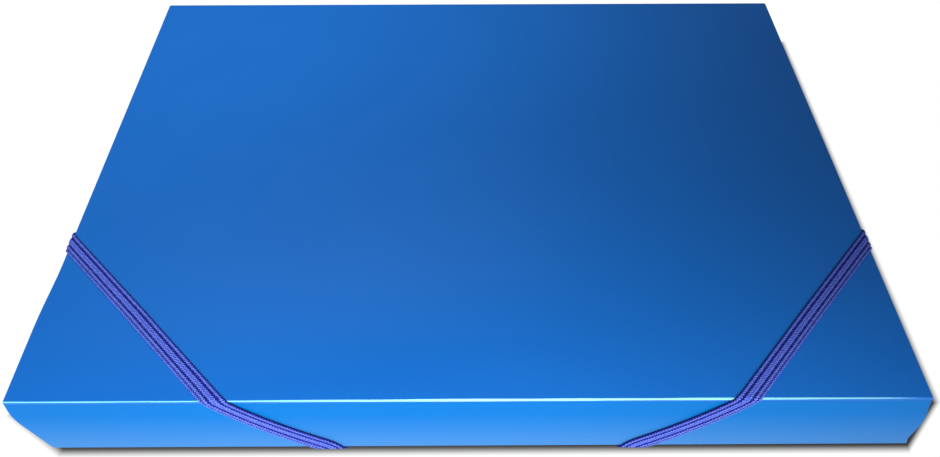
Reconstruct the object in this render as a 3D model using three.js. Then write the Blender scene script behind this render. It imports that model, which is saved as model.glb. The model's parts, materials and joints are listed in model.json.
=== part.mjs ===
// An A4 filing box of creased polypropylene sheet, closed by two elastic bands over its front corners.
// Millimetres, +X to the right, +Y to the spine, +Z up; the origin is under the middle of the closed box.
import * as THREE from 'three';

// Driving dimensions of the closed box
const width = 330;             // lid, side to side
const depth = 240;             // spine's outer face to the lid's front crease
const height = 27;             // spine height, underside of the bottom to the top of the lid
const sheet = 0.8;             // thickness of the plastic sheet
const flapLean = 12.5;         // degrees that the front flap hangs out of upright
const flapLength = 26;         // front flap, crease to lower edge
// What is cut off the flap's lower corners
const cornerCut = { left: { across: 8.5, up: 18 }, right: { across: 0.8, up: 5 } };
const wallInset = 1.8;         // how far the lid reaches past the side walls
const frontGap = 1.2;          // front wall to front flap, at the crease
const foldGap = 0.1;           // clearance where one panel of the folded sheet meets the next
const creaseReach = 1;         // a panel that moves stops this far from its crease
const creaseFit = 0.05;        // clearance between a crease strip and its panels

// Elastic bands and their metal ends
const bandWidth = 7;
const bandThickness = 1;
const bandGap = 0.1;           // band to the sheet that it lies on
const slotLength = 8.4;
const slotWidth = 1.8;
const slotOffset = { front: 17, side: 17 };   // slot to the edge that its band comes round
const clipLength = 15;
const clipHeight = 2.6;
const clipWall = 0.9;

// Where each band crosses the edges: from the middle at the front, from the front crease at the side
const bands = [
  { name: 'left', side: -1, creaseX: 91.5, bottomX: 52.5, edgeY: 72, edgeBottomY: 103 },
  { name: 'right', side: 1, creaseX: 99, bottomX: 61.5, edgeY: 71.5, edgeBottomY: 103 },
];

// Flaps, tabs and rivets inside
const dustFlapWidth = 50;
const dustFlapDrop = 0.3;      // lid to the dust flaps under it
const mitreGap = 0.6;
const tabLength = 27;
const tabGap = 0.3;
const rivetInset = 14;         // rivet to the box's front or rear wall
const rivetHead = { radius: 4, thickness: 1 };
const rivetShank = 1.6;
const rivetHole = 1.9;
const rivetFit = 0.1;
const roundSides = 24;

// Levels and faces worked out from them
const baseZ = bandThickness + bandGap;
const topZ = baseZ + height;
const floorZ = baseZ + sheet;
const lidHalf = width / 2;
const wallOuterX = lidHalf - wallInset;
const wallInnerX = wallOuterX - sheet;
const lean = THREE.MathUtils.degToRad(flapLean);
const bandReach = sheet / 2 + bandGap + bandThickness;
// The flap's lower end and the band over it reach out furthest, so the lid sits behind the middle
const creaseZ = topZ - sheet / 2;
const frontReach = (creaseZ * Math.tan(lean)) - sheet / 2 + bandReach / Math.cos(lean);
const rearY = (depth + frontReach) / 2;
const frontY = rearY - depth;
const flapAxis = { y: frontY + sheet / 2, z: creaseZ };
const lidAxis = { y: rearY - sheet / 2, z: creaseZ };
const frontWallOuterY = frontY + sheet + frontGap;
const frontWallInnerY = frontWallOuterY + sheet;
const spineInnerY = rearY - sheet;
const dustTopZ = topZ - sheet - dustFlapDrop;
const dustAxisZ = dustTopZ - sheet / 2;
const wallTopZ = dustAxisZ - creaseReach;

const plastic = new THREE.MeshStandardMaterial({ color: 0x1f6fd0, roughness: 0.42, metalness: 0 });
const elastic = new THREE.MeshStandardMaterial({ color: 0x4a55d8, roughness: 0.85, metalness: 0 });
const clipMetal = new THREE.MeshStandardMaterial({ color: 0xb9bcc0, roughness: 0.3, metalness: 1 });
const rivetPlastic = new THREE.MeshStandardMaterial({ color: 0x1a5db4, roughness: 0.35, metalness: 0 });

const box = new THREE.Group();

function addMesh(name, geometry, material) {
  const mesh = new THREE.Mesh(geometry, material);
  mesh.name = name;
  box.add(mesh);
  return mesh;
}

// Outlines run anticlockwise and holes clockwise
function shapeOf(points) {
  const corners = points.map(([u, v]) => new THREE.Vector2(u, v));
  return new THREE.Shape(THREE.ShapeUtils.area(corners) < 0 ? corners.reverse() : corners);
}

function circlePath(u, v, radius) {
  return new THREE.Path().absarc(u, v, radius, 0, 2 * Math.PI, true);
}

// A flat piece: its outline lies in the u, v plane at the origin, and its thickness goes along u x v
function plate(name, shape, thickness, origin, u, v, material) {
  const w = u.clone().cross(v);
  const geometry = new THREE.ExtrudeGeometry(shape, {
    depth: thickness, bevelEnabled: false, curveSegments: roundSides / 2,
  });
  geometry.applyMatrix4(new THREE.Matrix4().makeBasis(u, v, w).setPosition(origin));
  return addMesh(name, geometry, material);
}

const X = new THREE.Vector3(1, 0, 0);
const Y = new THREE.Vector3(0, 1, 0);
const Z = new THREE.Vector3(0, 0, 1);

function rectangle(u0, v0, u1, v1) {
  return shapeOf([[u0, v0], [u1, v0], [u1, v1], [u0, v1]]);
}

// Horizontal panel between two heights, outline in x, y
function flatPanel(name, shape, z, thickness = sheet, material = plastic) {
  return plate(name, shape, thickness, new THREE.Vector3(0, 0, z), X, Y, material);
}

// Upright panel along X: outline in x, z, and its thickness reaches from y to y - thickness
function uprightX(name, shape, y, thickness = sheet, material = plastic) {
  return plate(name, shape, thickness, new THREE.Vector3(0, y, 0), X, Z, material);
}

// Upright panel along Y: outline in y, z, and its thickness reaches from x to x + thickness
function uprightY(name, shape, x, thickness = sheet, material = plastic) {
  return plate(name, shape, thickness, new THREE.Vector3(x, 0, 0), Y, Z, material);
}

// Cross-section of a living hinge: two short arms of sheet that meet at the crease's axis.
// a and b are the arms' unit directions in the section's plane, with b to the left of a.
function creaseSection(a, b) {
  const half = sheet / 2;
  const reach = creaseReach - creaseFit;
  const bisector = a.clone().add(b).normalize();
  const mitre = half / Math.sin(a.angleTo(b) / 2);
  const leftOf = (v) => new THREE.Vector2(-v.y, v.x);
  const at = (v, along, across) => v.clone().multiplyScalar(along).addScaledVector(leftOf(v), across);
  const corners = [
    at(a, reach, -half), at(a, reach, half), bisector.clone().multiplyScalar(mitre),
    at(b, reach, -half), at(b, reach, half), bisector.clone().multiplyScalar(-mitre),
  ];
  return new THREE.Shape(corners);
}

function creaseAlongX(name, axis, a, b, half) {
  const origin = new THREE.Vector3(-half, axis.y, axis.z);
  return plate(name, creaseSection(a, b), 2 * half, origin, Y, Z, plastic);
}

function creaseAlongY(name, axisX, axisZ, a, b, y0, y1) {
  // Seen from the front, so the section's thickness runs backwards along -Y
  const origin = new THREE.Vector3(axisX, y1, axisZ);
  return plate(name, creaseSection(a, b), y1 - y0, origin, X, Z, plastic);
}

function slotPath(centre, along) {
  const across = new THREE.Vector2(-along.y, along.x);
  const corner = (s, t) => centre.clone()
    .addScaledVector(along, s * slotLength / 2).addScaledVector(across, t * slotWidth / 2);
  return new THREE.Path([corner(-1, -1), corner(-1, 1), corner(1, 1), corner(1, -1)]);
}

// One end of a band: the edge it comes round, the way it runs under the bottom, and its slot
function bandEnds(band) {
  const legEndY = flapAxis.y - creaseZ * Math.tan(lean);
  const front = {
    edge: new THREE.Vector2(band.side * band.bottomX, legEndY),
    inward: new THREE.Vector2(-band.side, 1).normalize(),
  };
  front.length = (frontWallOuterY + slotOffset.front - legEndY) * Math.SQRT2;
  const side = {
    edge: new THREE.Vector2(band.side * lidHalf, frontY + band.edgeBottomY),
    inward: new THREE.Vector2(-band.side, 1).normalize(),
  };
  side.length = (wallInset + slotOffset.side) * Math.SQRT2;
  for (const end of [front, side]) {
    end.slot = end.edge.clone().addScaledVector(end.inward, end.length);
    end.across = new THREE.Vector2(-end.inward.y, end.inward.x);
  }
  return { front, side };
}

function makeBottomPanel() {
  const x = wallInnerX - foldGap;
  const shape = rectangle(-x, frontWallInnerY + foldGap, x, spineInnerY - foldGap);
  for (const band of bands) {
    for (const end of Object.values(bandEnds(band))) shape.holes.push(slotPath(end.slot, end.across));
  }
  flatPanel('bottom_panel', shape, baseZ);
}

function makeWalls() {
  uprightX('front_wall', rectangle(-wallOuterX, baseZ, wallOuterX, wallTopZ), frontWallInnerY);
  uprightX('spine_panel', rectangle(-wallOuterX, baseZ, wallOuterX, creaseZ - creaseReach), rearY);
  const y0 = frontWallInnerY + foldGap;
  const y1 = spineInnerY - foldGap;
  for (const [name, side] of [['left', -1], ['right', 1]]) {
    const shape = rectangle(y0, baseZ, y1, wallTopZ);
    for (const rivet of rivetPlaces) shape.holes.push(circlePath(rivet.y, rivetZ, rivetHole));
    uprightY(`${name}_wall`, shape, side < 0 ? -wallOuterX : wallInnerX);
  }
}

// Corner tabs folded round from the front wall and the spine, riveted inside the side walls
const rivetZ = (floorZ + wallTopZ) / 2;
const rivetPlaces = [
  { name: 'front', y: frontWallInnerY + rivetInset, tabStart: frontWallInnerY + foldGap, along: 1 },
  { name: 'rear', y: spineInnerY - rivetInset, tabStart: spineInnerY - foldGap, along: -1 },
];
const tabOuterX = wallInnerX - tabGap;
const tabInnerX = tabOuterX - sheet;

function makeTabs() {
  const z0 = floorZ + 1.2;
  const z1 = wallTopZ - 1.5;
  const cut = 5;
  for (const place of rivetPlaces) {
    const start = place.tabStart;
    const end = start + place.along * tabLength;
    const shoulder = end - place.along * cut;
    for (const [name, side] of [['left', -1], ['right', 1]]) {
      const shape = shapeOf([
        [start, z0], [shoulder, z0], [end, z0 + cut], [end, z1 - cut], [shoulder, z1], [start, z1],
      ]);
      shape.holes.push(circlePath(place.y, rivetZ, rivetHole));
      uprightY(`${name}_${place.name}_tab`, shape, side < 0 ? -tabOuterX : tabInnerX);
    }
  }
}

// A snap rivet: a headed stud from outside and a cap that presses on to it from inside
function makeRivets() {
  const shankEnd = tabInnerX - rivetFit - rivetHead.thickness + 0.2;
  const headInner = wallOuterX + rivetFit;
  const studProfile = [
    [0, shankEnd], [rivetShank, shankEnd], [rivetShank, headInner], [rivetHead.radius, headInner],
    [rivetHead.radius, headInner + 0.5], [rivetHead.radius - 0.7, headInner + rivetHead.thickness],
    [0, headInner + rivetHead.thickness],
  ];
  const capOuter = tabInnerX - rivetFit;
  const capProfile = [
    [rivetShank + rivetFit, capOuter - rivetHead.thickness], [rivetHead.radius - 0.7, capOuter - rivetHead.thickness],
    [rivetHead.radius, capOuter - 0.5], [rivetHead.radius, capOuter], [rivetShank + rivetFit, capOuter],
    [rivetShank + rivetFit, capOuter - rivetHead.thickness],
  ];
  const lathe = (profile) => new THREE.LatheGeometry(profile.map(([r, a]) => new THREE.Vector2(r, a)), roundSides);
  for (const place of rivetPlaces) {
    for (const [name, side] of [['left', -1], ['right', 1]]) {
      for (const [part, profile] of [['stud', studProfile], ['cap', capProfile]]) {
        const mesh = addMesh(`${name}_${place.name}_rivet_${part}`, lathe(profile), rivetPlastic);
        mesh.rotation.z = side < 0 ? Math.PI / 2 : -Math.PI / 2;
        mesh.position.set(0, place.y, rivetZ);
      }
    }
  }
}

function makeLid() {
  const shape = rectangle(-lidHalf, flapAxis.y + creaseReach, lidHalf, lidAxis.y - creaseReach);
  flatPanel('lid_panel', shape, topZ - sheet);
  creaseAlongX('lid_crease', lidAxis, new THREE.Vector2(-1, 0), new THREE.Vector2(0, -1), wallOuterX);
}

// The flap's lower corners are cut off, one more than the other
function makeFrontFlap() {
  const low = flapLength;
  const shape = shapeOf([
    [-lidHalf, creaseReach], [-lidHalf, low - cornerCut.left.up], [-lidHalf + cornerCut.left.across, low],
    [lidHalf - cornerCut.right.across, low], [lidHalf, low - cornerCut.right.up], [lidHalf, creaseReach],
  ]);
  const down = new THREE.Vector3(0, -Math.sin(lean), -Math.cos(lean));
  const inward = X.clone().cross(down);
  const origin = new THREE.Vector3(0, flapAxis.y, flapAxis.z).addScaledVector(inward, -sheet / 2);
  plate('front_flap', shape, sheet, origin, X, down, plastic);
  const flapArm = new THREE.Vector2(-Math.sin(lean), -Math.cos(lean));
  creaseAlongX('front_flap_crease', flapAxis, flapArm, new THREE.Vector2(1, 0), lidHalf);
}

// Three flaps at the wall tops lie under the lid, with mitred ends so that they meet edge to edge
function makeDustFlaps() {
  const z = dustTopZ - sheet;
  const axisX = wallOuterX - sheet / 2;
  const axisY = frontWallOuterY + sheet / 2;
  const frontY0 = axisY + creaseReach;
  const frontY1 = axisY + dustFlapWidth;
  const frontHalf = axisX - creaseReach - mitreGap;
  const slope = dustFlapWidth - creaseReach;
  flatPanel('front_dust_flap', shapeOf([
    [-frontHalf, frontY0], [frontHalf, frontY0], [frontHalf - slope, frontY1], [-frontHalf + slope, frontY1],
  ]), z);
  const y0 = frontY0 + mitreGap;
  const y1 = spineInnerY - creaseReach;
  for (const [name, side] of [['left', -1], ['right', 1]]) {
    const outer = side * (axisX - creaseReach);
    const inner = side * (axisX - dustFlapWidth);
    const corners = [[outer, y0], [inner, y0 + slope], [inner, y1 - slope], [outer, y1]];
    flatPanel(`${name}_dust_flap`, shapeOf(corners), z);
    const arms = [new THREE.Vector2(0, -1), new THREE.Vector2(-side, 0)];
    if (side > 0) arms.reverse();
    creaseAlongY(`${name}_dust_flap_crease`, side * axisX, dustAxisZ, ...arms, y0, y1);
  }
  creaseAlongX('front_dust_flap_crease', { y: axisY, z: dustAxisZ },
    new THREE.Vector2(0, -1), new THREE.Vector2(1, 0), frontHalf);
}

// Corners of a flat band whose centre line runs from p to q, cut off square to the u axis or the v axis
function bandOutline(p, q, cutP, cutQ) {
  const run = q.clone().sub(p).normalize();
  const across = new THREE.Vector2(-run.y, run.x).multiplyScalar(bandWidth / 2);
  const corner = (point, offset, cut) => {
    const moved = point.clone().add(offset);
    const t = cut === 'u' ? (point.x - moved.x) / run.x : (point.y - moved.y) / run.y;
    return moved.addScaledVector(run, t);
  };
  const back = across.clone().negate();
  return new THREE.Shape([
    corner(p, back, cutP), corner(q, back, cutQ), corner(q, across, cutQ), corner(p, across, cutP),
  ]);
}

function makeBand(band) {
  const { name, side } = band;
  const label = (part) => `${name}_elastic_${part}`;
  const ends = bandEnds(band);
  const strandZ = topZ + bandGap;
  const bandTopZ = strandZ + bandThickness;

  // Across the lid's corner, from the front crease to the side edge
  const legInnerY = flapAxis.y - (sheet / 2 + bandGap) / Math.cos(lean) + (bandTopZ - creaseZ) * Math.tan(lean);
  const strandFront = new THREE.Vector2(side * band.creaseX, legInnerY + bandGap);
  const strandSide = new THREE.Vector2(side * lidHalf, frontY + band.edgeY);
  flatPanel(label('strand'), bandOutline(strandFront, strandSide, 'v', 'u'), strandZ, bandThickness, elastic);

  // Down the front flap, in the flap's leaning plane: v is measured down from the crease's axis
  const down = new THREE.Vector3(0, -Math.sin(lean), -Math.cos(lean));
  const inward = X.clone().cross(down);
  const legOrigin = new THREE.Vector3(0, flapAxis.y, flapAxis.z).addScaledVector(inward, -bandReach);
  const lift = bandReach * Math.sin(lean);
  const legTop = -(bandTopZ - creaseZ - lift) / Math.cos(lean);
  const legLow = (creaseZ + lift) / Math.cos(lean) - bandThickness * Math.tan(lean);
  plate(label('front_leg'),
    bandOutline(new THREE.Vector2(side * band.creaseX, legTop), new THREE.Vector2(side * band.bottomX, legLow), 'v', 'v'),
    bandThickness, legOrigin, X, down, elastic);

  // Down beside the side wall
  const legX = lidHalf + bandGap;
  uprightY(label('side_leg'),
    bandOutline(new THREE.Vector2(frontY + band.edgeY, bandTopZ), new THREE.Vector2(frontY + band.edgeBottomY, 0), 'v', 'v'),
    side < 0 ? -legX - bandThickness : legX, bandThickness, elastic);

  // Under the bottom to a slot and up through it, into a folded metal clip that can't pass back
  for (const [where, end] of Object.entries(ends)) {
    const start = bandWidth / 2 + (where === 'front' ? 2 * bandThickness : bandGap);
    const riserTop = floorZ + foldGap + clipHeight - clipWall - foldGap;
    const half = bandThickness / 2;
    const profile = shapeOf([
      [start, 0], [end.length + half, 0], [end.length + half, riserTop], [end.length - half, riserTop],
      [end.length - half, bandThickness], [start, bandThickness],
    ]);
    const inward3 = new THREE.Vector3(end.inward.x, end.inward.y, 0);
    const across3 = inward3.clone().cross(Z);
    const origin = new THREE.Vector3(end.edge.x, end.edge.y, 0).addScaledVector(across3, -bandWidth / 2);
    plate(label(`${where}_tail`), profile, bandWidth, origin, inward3, Z, elastic);

    const outer = bandThickness / 2 + foldGap + clipWall;
    const inner = bandThickness / 2 + foldGap;
    const clipZ = floorZ + foldGap;
    const clip = shapeOf([
      [-outer, 0], [-inner, 0], [-inner, clipHeight - clipWall], [inner, clipHeight - clipWall],
      [inner, 0], [outer, 0], [outer, clipHeight], [-outer, clipHeight],
    ]);
    const clipOrigin = new THREE.Vector3(end.slot.x, end.slot.y, clipZ).addScaledVector(across3, -clipLength / 2);
    plate(label(`${where}_clip`), clip, clipLength, clipOrigin, inward3, Z, clipMetal);
  }
}

makeBottomPanel();
makeWalls();
makeTabs();
makeRivets();
makeLid();
makeFrontFlap();
makeDustFlaps();
for (const band of bands) makeBand(band);

export default box;
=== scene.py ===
"""Looks of the A4 filing box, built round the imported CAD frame. Metres, +X right, +Y to the spine, +Z up."""
import json
import math

import bmesh
import bpy
import numpy as np
from mathutils import Matrix, Vector
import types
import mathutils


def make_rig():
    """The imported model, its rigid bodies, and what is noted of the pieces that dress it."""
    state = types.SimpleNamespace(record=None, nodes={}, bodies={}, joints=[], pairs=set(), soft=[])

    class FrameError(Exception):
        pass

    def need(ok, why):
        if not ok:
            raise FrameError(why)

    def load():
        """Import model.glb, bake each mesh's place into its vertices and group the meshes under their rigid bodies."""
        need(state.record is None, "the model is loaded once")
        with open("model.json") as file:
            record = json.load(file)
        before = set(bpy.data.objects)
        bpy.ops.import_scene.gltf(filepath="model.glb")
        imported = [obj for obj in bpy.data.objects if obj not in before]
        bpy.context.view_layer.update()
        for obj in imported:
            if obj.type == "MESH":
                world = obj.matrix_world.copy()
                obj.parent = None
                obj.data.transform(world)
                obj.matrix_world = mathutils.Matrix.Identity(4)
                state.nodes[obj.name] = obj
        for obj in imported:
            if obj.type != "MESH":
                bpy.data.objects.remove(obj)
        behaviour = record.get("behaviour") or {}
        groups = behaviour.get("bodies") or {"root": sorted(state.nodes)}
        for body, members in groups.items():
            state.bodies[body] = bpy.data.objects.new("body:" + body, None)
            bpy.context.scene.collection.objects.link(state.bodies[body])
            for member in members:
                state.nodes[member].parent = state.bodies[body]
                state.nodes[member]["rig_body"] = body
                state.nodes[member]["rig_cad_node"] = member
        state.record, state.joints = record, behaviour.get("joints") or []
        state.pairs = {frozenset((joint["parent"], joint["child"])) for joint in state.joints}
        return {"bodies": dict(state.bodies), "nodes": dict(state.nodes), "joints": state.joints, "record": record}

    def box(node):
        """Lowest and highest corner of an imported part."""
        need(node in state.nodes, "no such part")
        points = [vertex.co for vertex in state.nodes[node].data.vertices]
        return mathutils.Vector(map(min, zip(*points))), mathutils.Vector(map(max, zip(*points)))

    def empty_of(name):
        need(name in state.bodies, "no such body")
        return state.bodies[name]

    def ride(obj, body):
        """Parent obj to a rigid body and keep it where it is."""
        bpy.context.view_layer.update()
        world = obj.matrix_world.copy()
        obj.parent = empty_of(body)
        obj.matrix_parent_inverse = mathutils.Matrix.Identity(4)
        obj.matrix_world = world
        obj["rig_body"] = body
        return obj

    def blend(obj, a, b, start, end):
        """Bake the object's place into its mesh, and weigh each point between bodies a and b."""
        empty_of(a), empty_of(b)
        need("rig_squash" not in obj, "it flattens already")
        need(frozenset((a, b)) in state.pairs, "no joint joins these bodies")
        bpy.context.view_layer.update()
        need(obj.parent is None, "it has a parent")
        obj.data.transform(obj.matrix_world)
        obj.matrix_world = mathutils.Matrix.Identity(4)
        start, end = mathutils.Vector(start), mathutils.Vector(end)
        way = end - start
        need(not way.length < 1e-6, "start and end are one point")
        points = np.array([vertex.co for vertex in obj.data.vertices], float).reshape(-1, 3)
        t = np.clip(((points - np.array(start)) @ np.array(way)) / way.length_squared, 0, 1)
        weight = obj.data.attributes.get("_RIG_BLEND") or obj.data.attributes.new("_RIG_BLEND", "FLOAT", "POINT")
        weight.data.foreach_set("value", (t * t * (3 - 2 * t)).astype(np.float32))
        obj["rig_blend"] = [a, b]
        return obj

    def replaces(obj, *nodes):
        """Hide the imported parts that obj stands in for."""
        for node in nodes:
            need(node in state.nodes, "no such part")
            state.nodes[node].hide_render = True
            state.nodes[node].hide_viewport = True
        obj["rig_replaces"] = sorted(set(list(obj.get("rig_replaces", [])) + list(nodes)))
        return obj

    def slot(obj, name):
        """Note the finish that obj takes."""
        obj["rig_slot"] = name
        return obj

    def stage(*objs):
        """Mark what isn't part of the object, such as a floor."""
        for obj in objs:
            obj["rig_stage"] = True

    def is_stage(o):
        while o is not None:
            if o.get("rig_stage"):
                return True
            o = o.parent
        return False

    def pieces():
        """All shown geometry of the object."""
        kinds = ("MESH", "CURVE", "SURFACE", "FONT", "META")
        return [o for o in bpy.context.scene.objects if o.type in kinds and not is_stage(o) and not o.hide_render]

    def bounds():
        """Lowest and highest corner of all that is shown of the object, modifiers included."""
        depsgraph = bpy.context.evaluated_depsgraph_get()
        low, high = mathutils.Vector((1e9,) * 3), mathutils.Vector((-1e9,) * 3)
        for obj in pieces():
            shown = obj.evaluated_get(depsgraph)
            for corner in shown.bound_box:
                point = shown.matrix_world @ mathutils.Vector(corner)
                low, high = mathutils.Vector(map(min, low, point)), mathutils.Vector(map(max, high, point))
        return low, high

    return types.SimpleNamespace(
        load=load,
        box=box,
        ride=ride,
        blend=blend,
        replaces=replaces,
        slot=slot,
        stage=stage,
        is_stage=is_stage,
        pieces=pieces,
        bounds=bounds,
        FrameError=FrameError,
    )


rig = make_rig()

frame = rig.load()
cad_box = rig.bounds()
MM = 0.001
AXIS_X = Vector((1, 0, 0))
AXIS_Y = Vector((0, 1, 0))
AXIS_Z = Vector((0, 0, 1))

# ---------------------------------------------------------------- dimensions, from the frame
SHEET = 0.8 * MM
FOLD_RADIUS = 0.75 * MM                      # outer radius of a folded edge
LEAN = math.radians(12.5)                    # of the front flap out of upright
JOINTS = {joint["name"]: joint for joint in frame["joints"]}
LID_AXIS = Vector(JOINTS["lid_open"]["pos_m"])
FLAP_AXIS = Vector(JOINTS["front_flap_fold"]["pos_m"])
LID_LOW, LID_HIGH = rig.box("lid_panel")
HALF = LID_HIGH.x
TOP = LID_HIGH.z
LEFT_SPREAD = 1.1 * MM                       # the lid's left front corner stands out a little
SPREAD_START = -55 * MM                      # along y, in front of the band
SPREAD_FULL = -85 * MM
REAR_Y = LID_AXIS.y + SHEET / 2
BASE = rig.box("bottom_panel")[0].z
FLAP_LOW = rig.box("front_flap")[0]
WALL_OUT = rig.box("right_wall")[1].x
WALL_IN = WALL_OUT - SHEET
FRONT_WALL_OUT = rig.box("front_wall")[0].y
WALL_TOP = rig.box("front_wall")[1].z
DUST_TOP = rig.box("front_dust_flap")[1].z
FLAP_LENGTH = (FLAP_AXIS.z - FLAP_LOW.z + SHEET / 2 * math.sin(LEAN)) / math.cos(LEAN)
FLAP_DOWN = Vector((0, -math.sin(LEAN), -math.cos(LEAN)))
FLAP_OUT = Vector((0, -math.cos(LEAN), math.sin(LEAN)))


# ---------------------------------------------------------------- shader helpers
class Nodes:
    """A material's node tree, with short calls to add and link nodes."""

    def __init__(self, name):
        self.material = bpy.data.materials.new(name)
        self.material.use_nodes = True
        self.tree = self.material.node_tree
        self.shader = self.tree.nodes["Principled BSDF"]

    def split(self, vector):
        """The X, Y and Z of a vector."""
        node = self.add("ShaderNodeSeparateXYZ")
        self.link(vector, node.inputs["Vector"])
        return [node.outputs[axis] for axis in "XYZ"]

    def uv(self, name):
        return self.add("ShaderNodeUVMap", uv_map=name).outputs["UV"]

    def add(self, kind, **settings):
        node = self.tree.nodes.new(kind)
        for key, value in settings.items():
            setattr(node, key, value)
        return node

    def link(self, out, into):
        self.tree.links.new(out, into)

    def coordinates(self, scale=(1, 1, 1)):
        mapping = self.add("ShaderNodeMapping")
        mapping.inputs["Scale"].default_value = scale
        self.link(self.add("ShaderNodeTexCoord").outputs["Object"], mapping.inputs["Vector"])
        return mapping.outputs["Vector"]

    def noise(self, scale, detail=2.0, roughness=0.5, stretch=(1, 1, 1)):
        node = self.add("ShaderNodeTexNoise")
        node.inputs["Scale"].default_value = scale
        node.inputs["Detail"].default_value = detail
        node.inputs["Roughness"].default_value = roughness
        self.link(self.coordinates(stretch), node.inputs["Vector"])
        return node.outputs["Fac"]

    def ramp(self, value, stops):
        node = self.add("ShaderNodeValToRGB")
        ramp = node.color_ramp
        while len(ramp.elements) < len(stops):
            ramp.elements.new(0.5)
        for element, (place, colour) in zip(ramp.elements, stops):
            element.position = place
            element.color = (*colour, 1)
        self.link(value, node.inputs["Fac"])
        return node.outputs["Color"]

    def remap(self, value, low, high, to_low, to_high, smooth=False):
        node = self.add("ShaderNodeMapRange", interpolation_type="SMOOTHSTEP" if smooth else "LINEAR")
        limits = {"From Min": low, "From Max": high, "To Min": to_low, "To Max": to_high}
        for name, number in limits.items():
            node.inputs[name].default_value = number
        self.link(value, node.inputs["Value"])
        return node.outputs["Result"]

    def mix(self, factor, a, b, blend="MIX"):
        node = self.add("ShaderNodeMix", data_type="RGBA", blend_type=blend)
        for socket, value in ((node.inputs[0], factor), (node.inputs[6], a), (node.inputs[7], b)):
            if isinstance(value, bpy.types.NodeSocket):
                self.link(value, socket)
            elif isinstance(value, (int, float)):
                socket.default_value = value
            else:
                socket.default_value = (*value, 1)
        return node.outputs[2]

    def math(self, operation, a, b=0.0):
        node = self.add("ShaderNodeMath", operation=operation)
        for socket, value in zip(node.inputs, (a, b)):
            if isinstance(value, bpy.types.NodeSocket):
                self.link(value, socket)
            else:
                socket.default_value = value
        return node.outputs[0]

    def bump(self, height, strength, distance, after=None):
        node = self.add("ShaderNodeBump")
        node.inputs["Strength"].default_value = strength
        node.inputs["Distance"].default_value = distance
        self.link(height, node.inputs["Height"])
        if after is not None:
            self.link(after, node.inputs["Normal"])
        return node.outputs["Normal"]

    def set(self, **values):
        for name, value in values.items():
            socket = self.shader.inputs[name.replace("_", " ")]
            if isinstance(value, bpy.types.NodeSocket):
                self.link(value, socket)
            elif isinstance(value, tuple):
                socket.default_value = (*value, 1)
            else:
                socket.default_value = value


# ---------------------------------------------------------------- materials
PP_BLUE = (0.008, 0.160, 0.61)
PP_DEEP = (0.007, 0.150, 0.58)
PP_PALE = (0.03, 0.26, 0.78)
BLACK = (0, 0, 0)
WHITE = (1, 1, 1)


def grey(level):
    return (level, level, level)


def sheet_nodes(name, tone=1.0):
    """Satin polypropylene sheet: a very fine embossed grain, faint clouding and hairline scuffs."""
    m = Nodes(name)
    cloud = m.remap(m.noise(9, 3), 0.3, 0.7, 0, 1)
    deep = tuple(c * tone for c in PP_DEEP)
    blue = tuple(c * tone for c in PP_BLUE)
    colour = m.mix(cloud, deep, blue)
    specks = m.ramp(m.noise(900, 1), [(0.0, BLACK), (0.74, BLACK), (0.78, WHITE)])
    colour = m.mix(m.math("MULTIPLY", specks, 0.18), colour, PP_PALE)
    scuffs = m.ramp(m.noise(160, 2, 0.6, (1, 0.03, 1)), [(0.0, BLACK), (0.68, BLACK), (0.76, WHITE)])
    grain = m.noise(2600, 2, 0.6)
    normal = m.bump(grain, 0.12, 0.06 * MM)
    normal = m.bump(scuffs, 0.05, 0.04 * MM, normal)
    rough = m.remap(m.noise(35, 3), 0.3, 0.7, 0.36, 0.44)
    m.set(Base_Color=colour, Roughness=rough, Normal=normal, Specular_IOR_Level=0.25)
    return m


def cut_edge_material():
    """The die-cut edge of the sheet, painted paler as a glow where light carried inside it comes out."""
    m = Nodes("sheet_cut_edge")
    colour = m.mix(m.remap(m.noise(600, 2), 0.3, 0.7, 0, 1), (0.02, 0.19, 0.66), (0.06, 0.30, 0.82))
    m.set(Base_Color=colour, Roughness=0.5, Normal=m.bump(m.noise(3000, 2), 0.2, 0.05 * MM))
    return m.material


def crease_material():
    """A living hinge: the plastic is stretched thin, and paler along the middle of the fold, partly from stress
    whitening and partly a painted highlight.

    The pale line is widest in the middle of the box, thinner to the left, and fades out at the right end, as the
    painted highlight does. The "bend" map gives the place along the fold in millimetres, and round it from 0 to 1.
    """
    m = Nodes("pp_crease_whitened")
    x, bend, _ = m.split(m.uv("bend"))
    along = m.remap(x, -HALF / MM, HALF / MM, 0, 1)
    streaks = m.remap(m.noise(700, 2, 0.5, (0.05, 1, 1)), 0.35, 0.65, -0.06, 0.06)
    middle = 0.52
    from_fold = m.math("ABSOLUTE", m.math("SUBTRACT", bend, middle))
    # Width of the pale line along the fold: stress whitening with a painted highlight over it
    widths = [(0.0, 0.17), (0.25, 0.20), (0.5, 0.42), (0.85, 0.32), (0.97, 0.15), (1.0, 0.08)]
    width = m.ramp(along, [(place, grey(level)) for place, level in widths])
    inside = m.math("SUBTRACT", m.math("ADD", width, streaks), from_fold)
    whitening_and_highlight_mask = m.remap(inside, -0.04, 0.05, 0, 1)
    # Colour of the pale line along the fold, back to the sheet's blue at the right end where the painted highlight
    # ends
    pale = m.ramp(along, [(0.0, (0.20, 0.70, 0.92)), (0.28, (0.24, 0.74, 0.95)), (0.5, (0.38, 0.88, 1.0)),
                          (0.8, (0.30, 0.78, 1.0)), (0.95, (0.22, 0.66, 1.0)), (0.99, (0.03, 0.26, 0.80))])
    m.set(Base_Color=m.mix(whitening_and_highlight_mask, PP_BLUE, pale), Roughness=0.3, Specular_IOR_Level=0.3)
    m.set(Normal=m.bump(m.noise(1800, 2, 0.5, (0.1, 1, 1)), 0.1, 0.05 * MM))
    return m.material


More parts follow.
